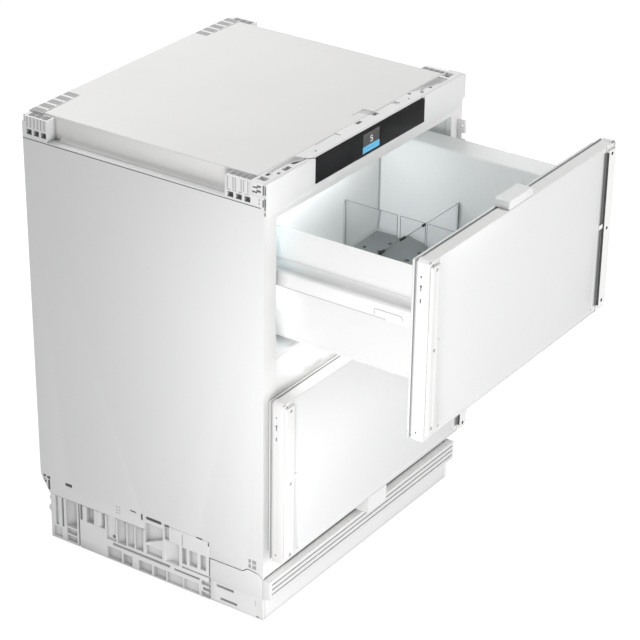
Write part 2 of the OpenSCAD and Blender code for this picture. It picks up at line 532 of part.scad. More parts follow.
module lower_gasket() color([0.93, 0.93, 0.92]) gasket(fz_l, front_h_l);
module lower_furniture_rails() color([0.90, 0.90, 0.90]) panel_rails(fz_l, front_h_l);
module lower_centre_tab() color(white) rib_tab_down(fz_l - front_h_l);
module lower_drawer_tub() color([0.95, 0.95, 0.95]) tub(-334);
module lower_drawer_rails() color([0.93, 0.93, 0.93]) drawer_rails(-334);
module lower_floor_mat() color([0.55, 0.57, 0.58]) floor_mat(-334);

left_side_panel();
right_side_panel();
back_panel();
top_plate();
top_corner_blocks();
cabinet_foam();
upper_liner();
lower_liner();
front_frame();
mullion();
control_fascia();
display_glass();
display_module();
top_trim();
left_base_side();
right_base_side();
plinth_blocks();
base_tray();
plinth_panel();
vent_grille();
compressor();
condenser();
condenser_fan_frame();
evaporation_tray();
mains_inlet();
evaporator();
evaporator_cover();
led_lamp();
drawer_catches();
roller_axles();
fixed_rails();
condenser_fan_rotor();
evaporator_fan_rotor();
left_front_foot();
right_front_foot();
left_rear_roller();
right_rear_roller();
upper_mid_rails();
lower_mid_rails();
upper_front_frame();
upper_front_plate();
upper_front_liner();
upper_gasket();
upper_furniture_rails();
upper_centre_tab();
upper_drawer_tub();
upper_drawer_rails();
upper_floor_mat();
long_divider();
cross_divider();
divider_clips();
lower_front_frame();
lower_front_plate();
lower_front_liner();
lower_gasket();
lower_furniture_rails();
lower_centre_tab();
lower_drawer_tub();
lower_drawer_rails();
lower_floor_mat();
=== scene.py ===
# Looks of an undercounter drawer refrigerator: materials, softened edges, fine
# pieces that the structure model leaves plain, studio light and camera.
import json
import math

import bmesh
import bpy
from mathutils import Matrix, Vector


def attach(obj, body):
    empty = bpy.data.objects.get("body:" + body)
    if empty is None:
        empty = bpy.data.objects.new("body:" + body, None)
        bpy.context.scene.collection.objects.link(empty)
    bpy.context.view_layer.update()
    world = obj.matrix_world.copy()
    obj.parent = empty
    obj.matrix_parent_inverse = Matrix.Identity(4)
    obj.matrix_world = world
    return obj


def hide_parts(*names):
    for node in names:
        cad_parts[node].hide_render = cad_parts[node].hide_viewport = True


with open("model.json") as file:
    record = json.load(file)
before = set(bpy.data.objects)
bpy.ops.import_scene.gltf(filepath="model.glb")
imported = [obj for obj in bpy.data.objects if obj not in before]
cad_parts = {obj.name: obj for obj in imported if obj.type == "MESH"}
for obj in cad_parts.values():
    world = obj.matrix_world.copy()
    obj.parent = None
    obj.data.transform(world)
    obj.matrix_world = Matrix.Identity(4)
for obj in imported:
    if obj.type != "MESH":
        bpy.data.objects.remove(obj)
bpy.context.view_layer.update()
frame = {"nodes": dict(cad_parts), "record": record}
N = frame["nodes"]
OPEN = 0.267  # the upper drawer stands this far out at rest


# ---------------------------------------------------------------- materials
class Tree:
    """Short hands for building one material's nodes."""

    def __init__(self, name):
        self.mat = bpy.data.materials.new(name)
        self.mat.use_nodes = True
        self.nt = self.mat.node_tree
        self.nt.nodes.clear()
        self.out = self.nt.nodes.new("ShaderNodeOutputMaterial")
        self.bsdf = self.nt.nodes.new("ShaderNodeBsdfPrincipled")
        self.nt.links.new(self.bsdf.outputs["BSDF"], self.out.inputs["Surface"])
        self.coord = self.nt.nodes.new("ShaderNodeTexCoord").outputs["Object"]
        self.normal = None

    def link(self, a, b):
        self.nt.links.new(a, b)

    def set(self, **values):
        for key, value in values.items():
            self.bsdf.inputs[key.replace("_", " ")].default_value = value

    def mapped(self, scale=(1, 1, 1), rotation=(0, 0, 0)):
        m = self.nt.nodes.new("ShaderNodeMapping")
        m.inputs["Scale"].default_value = scale
        m.inputs["Rotation"].default_value = rotation
        self.link(self.coord, m.inputs["Vector"])
        return m.outputs["Vector"]

    def noise(self, scale, detail=2.0, rough=0.5, vector=None, distortion=0.0):
        n = self.nt.nodes.new("ShaderNodeTexNoise")
        n.inputs["Scale"].default_value = scale
        n.inputs["Detail"].default_value = detail
        n.inputs["Roughness"].default_value = rough
        n.inputs["Distortion"].default_value = distortion
        self.link(vector or self.coord, n.inputs["Vector"])
        return n.outputs["Fac"]

    def voronoi(self, scale, feature="F1", vector=None):
        n = self.nt.nodes.new("ShaderNodeTexVoronoi")
        n.feature = feature
        n.inputs["Scale"].default_value = scale
        self.link(vector or self.coord, n.inputs["Vector"])
        return n.outputs["Distance"]

    def ramp(self, fac, stops):
        r = self.nt.nodes.new("ShaderNodeValToRGB")
        e = r.color_ramp.elements
        while len(e) < len(stops):
            e.new(0.5)
        for el, (pos, col) in zip(e, stops):
            el.position = pos
            el.color = (*col, 1) if len(col) == 3 else col
        self.link(fac, r.inputs["Fac"])
        return r.outputs["Color"]

    def grey(self, fac, lo, hi, p0=0.3, p1=0.7):
        """Maps fac to a value between lo and hi."""
        m = self.nt.nodes.new("ShaderNodeMapRange")
        m.inputs["From Min"].default_value = p0
        m.inputs["From Max"].default_value = p1
        m.inputs["To Min"].default_value = lo
        m.inputs["To Max"].default_value = hi
        self.link(fac, m.inputs["Value"])
        return m.outputs["Result"]

    def mix(self, fac, a, b, mode="MIX"):
        m = self.nt.nodes.new("ShaderNodeMix")
        m.data_type = "RGBA"
        m.blend_type = mode
        for sock, v in ((m.inputs[0], fac), (m.inputs[6], a), (m.inputs[7], b)):
            if isinstance(v, (int, float)):
                sock.default_value = v
            elif isinstance(v, tuple):
                sock.default_value = (*v, 1) if len(v) == 3 else v
            else:
                self.link(v, sock)
        return m.outputs[2]

    def bump(self, height, strength, distance):
        b = self.nt.nodes.new("ShaderNodeBump")
        b.inputs["Strength"].default_value = strength
        b.inputs["Distance"].default_value = distance
        self.link(height, b.inputs["Height"])
        if self.normal is not None:
            self.link(self.normal, b.inputs["Normal"])
        self.normal = b.outputs["Normal"]
        self.link(self.normal, self.bsdf.inputs["Normal"])

    def crevice_shade(self, sock, deep, reach=0.011):
        """Paints shade into a colour inside pockets and narrow gaps: ambient occlusion darkens it where the surface is
        hemmed in.
        """
        a = self.nt.nodes.new("ShaderNodeAmbientOcclusion")
        a.samples = 8
        a.inputs["Distance"].default_value = reach
        f = self.grey(a.outputs["AO"], 0.0, 1.0, 0.22, 0.86)
        return self.mix(f, shade(deep, 1.0), sock) if isinstance(deep, tuple) else sock

    def colour(self, sock):
        self.link(sock, self.bsdf.inputs["Base Color"])

    def rough(self, sock):
        self.link(sock, self.bsdf.inputs["Roughness"])


def shade(c, k):
    return tuple(min(1.0, v * k) for v in c)


def plastic(name, colour, rough=(0.38, 0.5), grain=900.0, depth=0.00003, vary=0.03, spec=0.45, coat=0.0, deep=0.45, reach=0.011):
    """Moulded plastic: soft cloudy tint, fine spark-eroded grain."""
    t = Tree(name)
    cloud = t.noise(5.0, 3, 0.55)
    fleck = t.noise(grain * 0.6, 2, 0.6)
    c = t.ramp(cloud, [(0.3, shade(colour, 1 - vary)), (0.7, colour)])
    c = t.mix(t.grey(fleck, 0.0, 0.35, 0.45, 0.75), c, shade(colour, 0.94))
    # painted shade: pockets and narrow gaps darken towards the colour times deep
    if deep:
        c = t.crevice_shade(c, shade(colour, deep), reach)
    t.colour(c)
    t.rough(t.grey(t.noise(38, 2, 0.5), rough[0] + 0.03, rough[1] - 0.03, 0.15, 0.85))
    t.bump(t.noise(grain, 2, 0.55), 0.55, depth)
    t.set(Specular_IOR_Level=spec, IOR=1.46, Coat_Weight=coat, Coat_Roughness=0.2)
    return t


def painted(name, colour, rough=(0.26, 0.36), vary=0.02, peel=420.0, coat=0.25, deep=0.5):
    """Powder-coated sheet metal: orange peel and a soft cloudy tint."""
    t = Tree(name)
    cloud = t.noise(2.6, 2, 0.5)
    c = t.ramp(cloud, [(0.3, shade(colour, 1 - vary)), (0.7, colour)])
    c = t.mix(t.grey(t.noise(peel * 1.7, 1, 0.5), 0, 0.25, 0.5, 0.8), c, shade(colour, 0.96))
    # painted shade: pockets and narrow gaps darken towards the colour times deep
    if deep:
        c = t.crevice_shade(c, shade(colour, deep), 0.008)
    t.colour(c)
    t.rough(t.grey(t.noise(22, 2, 0.5), rough[0] + 0.03, rough[1] - 0.03, 0.15, 0.85))
    t.bump(t.noise(peel, 2, 0.5), 0.5, 0.00004)
    t.set(Specular_IOR_Level=0.5, IOR=1.5, Coat_Weight=coat, Coat_Roughness=0.16)
    return t


def metal(name, colour, rough=(0.3, 0.45), brushed=(4, 700, 700), grain=0.00002, spangle=0.0):
    """Rolled or zinc-coated steel, with rolling marks and optional spangle."""
    t = Tree(name)
    v = t.mapped(brushed)
    lines = t.noise(1.0, 4, 0.6, v)
    c = t.ramp(lines, [(0.25, shade(colour, 0.86)), (0.75, shade(colour, 1.08))])
    if spangle:
        s = t.voronoi(95.0)
        c = t.mix(t.grey(s, 0, spangle, 0.1, 0.8), c, shade(colour, 1.25))
    t.colour(c)
    t.rough(t.grey(lines, rough[0], rough[1]))
    t.bump(lines, 0.35, grain)
    t.set(Metallic=1.0)
    return t


def glass_black(name):
    t = Tree(name)
    smear = t.noise(9, 3, 0.6)
    t.colour(t.ramp(smear, [(0.3, (0.012, 0.012, 0.013)), (0.75, (0.016, 0.016, 0.017))]))
    t.rough(t.grey(t.noise(14, 4, 0.65), 0.2, 0.27))
    t.bump(t.noise(260, 2, 0.5), 0.12, 0.000015)
    t.set(Specular_IOR_Level=0.15, IOR=1.45, Coat_Weight=0.0)
    return t


def clear(name, tint=(0.985, 0.992, 0.992)):
    t = Tree(name)
    t.colour(t.ramp(t.noise(7, 2, 0.5), [(0.3, shade(tint, 0.97)), (0.7, tint)]))
    t.rough(t.grey(t.noise(60, 3, 0.6), 0.05, 0.14))
    t.bump(t.noise(11, 2, 0.5), 0.05, 0.0003)
    t.set(IOR=1.06, Transmission_Weight=1.0, Specular_IOR_Level=0.35)
    return t


def glow(name, colour, strength, lens=(0.9, 0.97, 1.0)):
    """A frosted lens lit from behind, its glow a little uneven."""
    t = Tree(name)
    t.colour(t.ramp(t.noise(220, 2, 0.5), [(0.3, shade(lens, 0.95)), (0.7, lens)]))
    t.rough(t.grey(t.noise(80, 2, 0.6), 0.35, 0.5))
    e = t.ramp(t.noise(30, 2, 0.5), [(0.25, shade(colour, 0.85)), (0.75, colour)])
    t.link(e, t.bsdf.inputs["Emission Color"])
    t.bump(t.noise(900, 2, 0.5), 0.4, 0.00003)
    t.set(Emission_Strength=strength)
    return t


M = {
    "painted_steel": painted("painted_steel", (0.84, 0.84, 0.84)),
    "zinc_steel": metal("zinc_steel", (0.60, 0.62, 0.64), (0.38, 0.52), (40, 40, 5), spangle=0.5),
    "lid_plastic": plastic("lid_plastic", (0.80, 0.795, 0.78), (0.42, 0.55)),
    "white_plastic": plastic("white_plastic", (0.85, 0.85, 0.845), (0.36, 0.5)),
    "front_plastic": plastic("front_plastic", (0.83, 0.825, 0.815), (0.36, 0.48)),
    "liner_plastic": plastic("liner_plastic", (0.815, 0.835, 0.84), (0.24, 0.34), 600, 0.00002, 0.02),
    "foam": plastic("foam", (0.82, 0.72, 0.46), (0.8, 0.9), 500, 0.0002, 0.12, 0.1),
    "black_glass": glass_black("black_glass"),
    "display": plastic("display", (0.03, 0.05, 0.06), (0.2, 0.3), 700),
    "grey_plastic": plastic("grey_plastic", (0.16, 0.165, 0.175), (0.45, 0.6), 700, 0.00004, 0.1),
    "black_steel": painted("black_steel", (0.02, 0.02, 0.022), (0.3, 0.42), 0.15),
    "coil_steel": painted("coil_steel", (0.06, 0.062, 0.065), (0.38, 0.5), 0.15),
    "aluminium_fin": metal("aluminium_fin", (0.78, 0.80, 0.82), (0.28, 0.4), (400, 400, 6)),
    "black_plastic": plastic("black_plastic", (0.018, 0.018, 0.02), (0.4, 0.55), 800, 0.00004, 0.12),
    "rail_steel": metal("rail_steel", (0.66, 0.67, 0.69), (0.26, 0.38), (700, 5, 700)),
    "seal": plastic("seal", (0.72, 0.72, 0.71), (0.55, 0.68), 500, 0.00006, 0.06, 0.3),
    "mat_grey": plastic("mat_grey", (0.225, 0.236, 0.236), (0.5, 0.65), 650, 0.00006, 0.08, 0.35, deep=0.3, reach=0.005),
    "clear_plastic": clear("clear_plastic"),
    "lamp_lens": glow("lamp_lens", (0.72, 0.95, 1.0), 3.0),
}

M["clear_edge"] = plastic("clear_edge", (0.12, 0.14, 0.145), (0.12, 0.2), 700, 0.00001, 0.1, deep=0)
M["glass_edge"] = plastic("glass_edge", (0.008, 0.008, 0.009), (0.12, 0.2), 700, 0.00001, 0.1, 0.3, deep=0)
M["groove_grey"] = plastic("groove_grey", (0.60, 0.60, 0.60), (0.5, 0.65), 500, 0.00005, 0.1, 0.3, deep=0)
M["groove_mid"] = plastic("groove_mid", (0.30, 0.30, 0.30), (0.5, 0.65), 500, 0.00005, 0.1, 0.3, deep=0)
M["cell_grey"] = plastic("cell_grey", (0.43, 0.43, 0.425), (0.5, 0.65), 500, 0.00005, 0.1, 0.3, deep=0)
M["cell_pale"] = plastic("cell_pale", (0.56, 0.56, 0.555), (0.5, 0.65), 500, 0.00005, 0.1, 0.3, deep=0)
M["hole_black"] = plastic("hole_black", (0.010, 0.010, 0.010), (0.6, 0.75), 500, 0.00003, 0.1, 0.08, deep=0)
# painted shade of longer or shorter reach: darker cells in the base sides, a grey band along the rails' coves under the
# skirt, darker louvres in the grille
M["base_plastic"] = plastic("base_plastic", (0.85, 0.85, 0.845), (0.36, 0.5), deep=0.5, reach=0.032)
M["rail_plastic"] = plastic("rail_plastic", (0.83, 0.83, 0.825), (0.36, 0.5), deep=0.5, reach=0.03)
M["grille_plastic"] = plastic("grille_plastic", (0.83, 0.83, 0.825), (0.36, 0.5), deep=0.38, reach=0.007)
M["groove_dark"] = plastic("groove_dark", (0.10, 0.10, 0.10), (0.5, 0.65), 500, 0.00005, 0.1, 0.3, deep=0)
M["tub_white"] = plastic("tub_white", (0.80, 0.80, 0.795), (0.3, 0.42), 600, 0.00002, 0.02)
M["frame_plastic"] = plastic("frame_plastic", (0.87, 0.87, 0.86), (0.36, 0.5), deep=0)
M["seam_grey"] = plastic("seam_grey", (0.13, 0.13, 0.13), (0.5, 0.65), 500, 0.00005, 0.1, 0.3, deep=0)
M["screen_dark"] = glow("screen_dark", (0.040, 0.036, 0.036), 1.0, (0.03, 0.03, 0.03))
M["screen_blue"] = glow("screen_blue", (0.10, 0.48, 0.78), 0.9, (0.05, 0.1, 0.13))
M["screen_blue_dark"] = glow("screen_blue_dark", (0.06, 0.30, 0.55), 0.9, (0.05, 0.1, 0.13))
M["screen_white"] = glow("screen_white", (0.75, 0.72, 0.70), 1.0, (0.2, 0.2, 0.2))
M["screen_dim"] = glow("screen_dim", (0.10, 0.085, 0.08), 1.0, (0.03, 0.03, 0.03))

BODY_OF = {n: body for body, members in frame["record"]["behaviour"]["bodies"].items() for n in members}
GROUPS = {
    "painted_steel": "left_side_panel right_side_panel upper_front_plate lower_front_plate",
    "zinc_steel": "back_panel base_tray",
    "lid_plastic": "top_plate",
    "white_plastic": "top_corner_blocks control_fascia top_trim left_base_side right_base_side plinth_blocks "
    "plinth_panel vent_grille drawer_catches front_frame mullion upper_centre_tab lower_centre_tab left_rear_roller "
    "right_rear_roller fixed_rails upper_drawer_rails lower_drawer_rails upper_furniture_rails "
    "lower_furniture_rails evaporator_fan_rotor",
    "front_plastic": "upper_front_frame lower_front_frame",
    "liner_plastic": "upper_liner lower_liner evaporator_cover upper_drawer_tub lower_drawer_tub "
    "upper_front_liner lower_front_liner",
    "foam": "cabinet_foam",
    "black_glass": "display_glass",
    "display": "display_module",
    "grey_plastic": "left_front_foot right_front_foot condenser_fan_frame evaporation_tray",
    "black_steel": "compressor",
    "coil_steel": "condenser",
    "aluminium_fin": "evaporator",
    "black_plastic": "mains_inlet condenser_fan_rotor divider_clips",
    "rail_steel": "roller_axles upper_mid_rails lower_mid_rails",
    "seal": "upper_gasket lower_gasket",
    "mat_grey": "upper_floor_mat lower_floor_mat",
    "clear_plastic": "long_divider cross_divider",
    "lamp_lens": "led_lamp",
}


SLOT_OF = {n: slot for slot, members in GROUPS.items() for n in members.split()}


def paint(obj, tree):
    obj.data.materials.clear()
    obj.data.materials.append(tree.mat)


for node in N:
    paint(N[node], M[SLOT_OF[node]])


# ------------------------------------------------------------ piece builders
def add_piece(name, mesh, slot, body, replaced=()):
    ob = bpy.data.objects.new(name, mesh)
    bpy.context.scene.collection.objects.link(ob)
    paint(ob, M[slot])
    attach(ob, body)
    if replaced:
        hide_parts(*replaced)
    return ob


def groups_of(bm, limit, layer, skip):
    """Numbers the patches of faces that meet at less than the limit; bevel faces get none."""
    for f in bm.faces:
        f[layer] = -1
    number = 0
    for start in bm.faces:
        if start[layer] != -1 or start in skip:
            continue
        start[layer] = number
        queue = [start]
        while queue:
            f = queue.pop()
            for e in f.edges:
                if len(e.link_faces) != 2 or e.calc_face_angle(0) > limit:
                    continue
                for g in e.link_faces:
                    if g[layer] == -1 and g not in skip:
                        g[layer] = number
                        queue.append(g)
        number += 1


def finish_mesh(bm, name, bevels, limit=math.radians(28)):
    """Splits big faces into triangles and gives every corner a normal that keeps flat faces flat and rounds only the
    bevel strips between them."""
    layer = bm.faces.layers.int.new("patch")
    bm.normal_update()
    groups_of(bm, limit, layer, set(bevels))
    bmesh.ops.triangulate(bm, faces=[f for f in bm.faces if len(f.verts) > 4])
    bm.normal_update()
    bm.verts.index_update()
    sums = {}
    by_vert = {}
    for f in bm.faces:
        g = f[layer]
        for corner in f.loops:
            v = corner.vert.index
            w = f.normal * max(corner.calc_angle(), 1e-4)
            sums[v, g] = sums.get((v, g), Vector((0, 0, 0))) + w
            by_vert.setdefault(v, set()).add(g)
    normals = []
    for f in bm.faces:
        g = f[layer]
        for corner in f.loops:
            v = corner.vert.index
            if g < 0:
                real = [sums[v, k] for k in by_vert[v] if k >= 0 and sums[v, k].length > 1e-9]
                if real:
                    n = max(real, key=lambda c: c.normalized().dot(f.normal))
                else:
                    n = sums[v, g]
            else:
                n = sums[v, g]
            n = n.normalized() if n.length > 1e-9 else f.normal.copy()
            if n.dot(f.normal) < 0.15:
                n = f.normal.copy()
            normals.append(n)
    me = bpy.data.meshes.new(name)
    bm.to_mesh(me)
    bm.free()
    me.polygons.foreach_set("use_smooth", [True] * len(me.polygons))
    me.normals_split_custom_set([tuple(n) for n in normals])
    me.update()
    return me


def rounded(bm, name, stages, angle=28.0):
    """Rounds the hard edges of a closed mesh, stage by stage: (width, segments, which edges or None)."""
    bmesh.ops.remove_doubles(bm, verts=bm.verts, dist=3e-6)
    bmesh.ops.dissolve_limit(bm, angle_limit=math.radians(0.8), verts=bm.verts, edges=bm.edges)
    bmesh.ops.dissolve_degenerate(bm, dist=2e-6, edges=bm.edges)
    limit = math.radians(angle)
    mark = bm.faces.layers.int.new("bevel")
    for width, segments, keep in stages:
        bm.normal_update()
        edges = [
            e
            for e in bm.edges
            if len(e.link_faces) == 2
            and not any(f[mark] for f in e.link_faces)
            and e.calc_face_angle(0) > limit
            and (keep is None or keep(e))
        ]
        if width <= 0 or not edges:
            continue
        made = bmesh.ops.bevel(
            bm,
            geom=edges,
            offset=width,
            offset_type="OFFSET",
            segments=segments,
            profile=0.5,
            affect="EDGES",
            clamp_overlap=False,
            material=-1,
            loop_slide=True,
        )["faces"]
        for f in made:
            f[mark] = 1
    return finish_mesh(bm, name, [f for f in bm.faces if f[mark]], limit)


def refine(node, width, segments=2, angle=28.0, first=(), slot=None):
    """A piece with the node's own shape and softly rounded edges, standing for it."""
    plain = bmesh.new()
    plain.from_mesh(N[node].data)
    bmesh.ops.remove_doubles(plain, verts=plain.verts, dist=3e-6)
    goal = plain.calc_volume()
    # a rounding that would eat up thin walls is tried again with a smaller radius
    for k in (1.0, 0.6, 0.35, 0.0):
        me = rounded(plain.copy(), node + ".soft", [*first, (width * k, segments, None)], angle)
        probe = bmesh.new()
        probe.from_mesh(me)
        sound = abs(probe.calc_volume() / goal - 1) < 0.03 and inside(me, plain)
        probe.free()
        if sound:
            break
    plain.free()
    return add_piece(node + ".soft", me, slot or SLOT_OF[node], BODY_OF[node], (node,))


def inside(me, plain):
    """Whether the rounded mesh stays in the plain one's box."""
    lo = [min(v.co[k] for v in plain.verts) - 1e-5 for k in range(3)]
    hi = [max(v.co[k] for v in plain.verts) + 1e-5 for k in range(3)]
    return all(lo[k] <= v.co[k] <= hi[k] for v in me.vertices for k in range(3))


def prism(outline, axis, a, b):
    """A closed bmesh: an outline in mm in the two other axes, in order, drawn out along one axis from a to b mm."""
    bm = bmesh.new()

    def at(p, q):
        co = {"x": (q, p[0], p[1]), "y": (p[0], q, p[1]), "z": (p[0], p[1], q)}[axis]
        return bm.verts.new(Vector(co) / 1000)

    lo = [at(p, a) for p in outline]
    hi = [at(p, b) for p in outline]
    bm.faces.new(lo)
    bm.faces.new(hi[::-1])
    n = len(outline)
    for i in range(n):
        bm.faces.new((lo[i], hi[i], hi[(i + 1) % n], lo[(i + 1) % n]))
    bmesh.ops.recalc_face_normals(bm, faces=bm.faces)
    return bm


def rect(a0, a1, b0, b1):
    return [(a0, b0), (a1, b0), (a1, b1), (a0, b1)]


def join(parts):
    """One bmesh from several closed ones."""
    whole = bmesh.new()
    for part in parts:
        me = bpy.data.meshes.new("tmp")
        part.to_mesh(me)
        part.free()
        whole.from_mesh(me)
        bpy.data.meshes.remove(me)
    return whole


def shift(bm, x=0.0, y=0.0, z=0.0):
    bmesh.ops.translate(bm, verts=bm.verts, vec=Vector((x, y, z)) / 1000)
    return bm


def rrect(x0, x1, y0, y1, r, z, seg=6):
    """A rounded rectangle as a ring of points in mm."""
    pts = []
    for cx, cy, a0 in ((x1 - r, y1 - r, 0), (x0 + r, y1 - r, 90), (x0 + r, y0 + r, 180), (x1 - r, y0 + r, 270)):
        for k in range(seg + 1):
            a = math.radians(a0 + 90 * k / seg)
            pts.append((cx + r * math.cos(a), cy + r * math.sin(a), z))
    return pts


def loft(rings):
    """A closed bmesh through rings with equal numbers of points, in mm, capped at both ends."""
    bm = bmesh.new()
    rows = [[bm.verts.new(Vector(p) / 1000) for p in ring] for ring in rings]
    for a, b in zip(rows, rows[1:]):
        n = len(a)
        for i in range(n):
            bm.faces.new((a[i], a[(i + 1) % n], b[(i + 1) % n], b[i]))
    bm.faces.new(rows[0][::-1])
    bm.faces.new(rows[-1])
    bmesh.ops.recalc_face_normals(bm, faces=bm.faces)
    return bm


def smooth_mesh(bm, name, angle=35.0):
    return finish_mesh(bm, name, [], math.radians(angle))


SOFT_EDGES = {
    0.0003: "left_side_panel right_side_panel back_panel base_tray upper_front_frame lower_front_frame "
    "top_trim upper_front_plate lower_front_plate",
    0.0004: "top_corner_blocks control_fascia upper_mid_rails lower_mid_rails",
    0.0005: "plinth_blocks plinth_panel evaporator_cover led_lamp",
    0.00055: "upper_front_liner lower_front_liner",
    0.0008: "fixed_rails",
    0.0011: "upper_centre_tab lower_centre_tab upper_liner lower_liner upper_gasket lower_gasket",
}
for width, nodes in SOFT_EDGES.items():
    for node in nodes.split():
        refine(node, width)
for node in ("front_frame", "mullion", "upper_furniture_rails", "lower_furniture_rails", "drawer_catches"):
    refine(node, 0.0004, slot="frame_plastic")
for node in ("left_base_side", "right_base_side"):
    refine(node, 0.0004, slot="base_plastic")
refine("vent_grille", 0.0003, slot="grille_plastic")


def paint_faces(ob, second, picks):
    """Adds a second material on the faces whose centre and normal the test picks."""
    ob.data.materials.append(M[second].mat)
    for p in ob.data.polygons:
        if picks(p.center, p.normal):
            p.material_index = 1


# Painted shade: the faces of the channel that runs round the back of each drawer front are painted grey, standing for
# the shade inside it.
for node, dy0 in (("upper_front_liner.soft", OPEN), ("lower_front_liner.soft", 0.0)):
    paint_faces(
        bpy.data.objects[node],
        "groove_grey",
        lambda c, n, d=dy0: -0.0169 < c.y + d < -0.0117 and abs(n.y) < 0.9 or abs(c.y + d + 0.0118) < 0.0003 and n.y < -0.9,
    )


refine(
    "top_plate",
    0.0004,
    first=[(0.0024, 4, lambda e: min(v.co.z for v in e.verts) > 0.8195 and max(abs(v.co.x) for v in e.verts) > 0.2755)],
)


# The lid's skirt meets the side channel in a soft cove.
def cove(x, y0, y1, sign):
    r = 7.5
    outline = [(x, 779.25), (x, 779.2 + r)]
    for k in range(1, 9):
        a = math.radians(90 * k / 8)
        outline.append((x - sign * (r - r * math.cos(a)), 779.25 + r - r * math.sin(a)))
    outline[-1] = (x - sign * r, 779.3)
    return prism(outline, "y", y0, y1)


coves = join([cove(-276.05, 77.3, 432.7, 1), cove(276.05, 77.3, 432.7, -1)])
add_piece("lid_coves", smooth_mesh(coves, "lid_coves", 40), "lid_plastic", "cabinet")


# Painted shade on each front: grey strips in the groove beside the right rail, darker towards the rail, with a dark
# wall next to it; screw heads deep in the rails' holes; a dark strip in the gap beside the corner cap and small dark
# marks at the other corner.
def front_details(tag, body, zt, h, dy):
    yf = -38.0 + dy
    z0, z1 = zt - h + 12.2, zt - 12.2
    for name, x0, x1, d0, slot in (("near", 256.3, 262.0, 0.9, "cell_pale"), ("far", 262.0, 268.7, 1.5, "groove_mid")):
        outline = [(x0, yf + d0), (min(x1, 266.9), yf + d0 + 0.7), (min(x1, 266.9), yf + 6.2), (x0, yf + 6.2)]
        if x1 > 267:
            outline = [(x0, yf + d0), (266.9, yf + d0 + 0.7), (266.9, yf - 0.2), (268.7, yf - 0.25), (268.7, yf + 6.2), (x0, yf + 6.2)]
        part = prism(outline, "z", z0, z1)
        add_piece(tag + "_groove_floor_" + name, rounded(part, tag + "_groove_floor_" + name, []), slot, body)
    wall = prism(rect(268.6, 268.98, yf - 4.3, yf), "z", z0, z1)
    add_piece(tag + "_groove_wall", rounded(join([wall]), tag + "_groove_wall", []), "groove_dark", body)
    # painted shade: the right-hand heads black, the left-hand ones grey
    for side, slot in ((-1, "cell_grey"), (1, "hole_black")):
        heads = []
        for z in (zt - 16, zt - 154.5, zt - 293):
            ring = [(side * 279 + 3.1 * math.cos(a * math.pi / 8), z + 3.1 * math.sin(a * math.pi / 8)) for a in range(16)]
            heads.append(prism(ring, "y", yf - 4.46, yf - 2))
        name = tag + ("_left" if side < 0 else "_right") + "_panel_screws"
        add_piece(name, smooth_mesh(join(heads), name, 40), slot, body)
    cap = prism(
        [(283.5, zt + 0.3), (290.5, zt + 2.0), (292.3, zt + 1.9), (295.5, zt - 2.8), (295.5, zt - 11), (293.6, zt - 11), (293.4, zt - 3.6), (290.6, zt - 0.4), (283.5, zt - 1.2)],
        "y",
        yf - 0.3,
        yf + 1.9,
    )
    marks = [
        prism(rect(-295.3, -289.5, zt - 2.2, zt - 0.9), "y", yf - 0.25, yf + 0.2),
        prism(rect(-286.8, -282.8, zt - 8.6, zt - 6.2), "y", yf - 0.25, yf + 0.2),
    ]
    add_piece(tag + "_corner_marks", rounded(join([cap, *marks]), tag + "_corner_marks", []), "groove_mid", body)


front_details("upper", "upper_drawer", 769.0, 312.0, -1000 * OPEN)
front_details("lower", "lower_drawer", 435.0, 306.0, 0.0)


# Dark strips of painted shade in the casing's hairline seams, under the blocks and behind the fascia, and over the
# slots along the bottom of the side panels.
def seams():
    parts = []
    for side in (1, -1):
        x0, x1 = sorted((side * 298.2, side * 298.62))
        parts.append(prism([(y, z) for y, z in ((6.5, 776.3), (497.5, 775.6), (497.5, 777.0), (6.5, 777.7))], "x", x0, x1))
        parts.append(prism(rect(0.9, 3.2, 800, 817.5), "x", x0, x1))
        parts.append(prism(rect(0.9, 3.4, 780.2, 792.5), "x", x0, x1))
        for y0, y1, z0, z1 in (
            (479, 485, 122.4, 126.2),
            (469.2, 476, 120.4, 125.2),
            (478.3, 482.2, 110.8, 114.0),
            (470.2, 474.4, 97.6, 116.4),
            (420, 433.4, 119.6, 124.2),
            (274.8, 285.8, 119.9, 121.7),
            (259.2, 262.2, 110.4, 120.2),
            (218, 250.4, 116.0, 120.2),
            (201, 210.4, 116.4, 119.4),
            (130.2, 141.2, 117.2, 118.8),
            (113.8, 116.4, 109.2, 116.2),
        ):
            parts.append(prism(rect(y0, y1, z0, z1), "x", x0, x1))
    return join(parts)


add_piece("casing_seams", rounded(seams(), "casing_seams", []), "seam_grey", "cabinet")
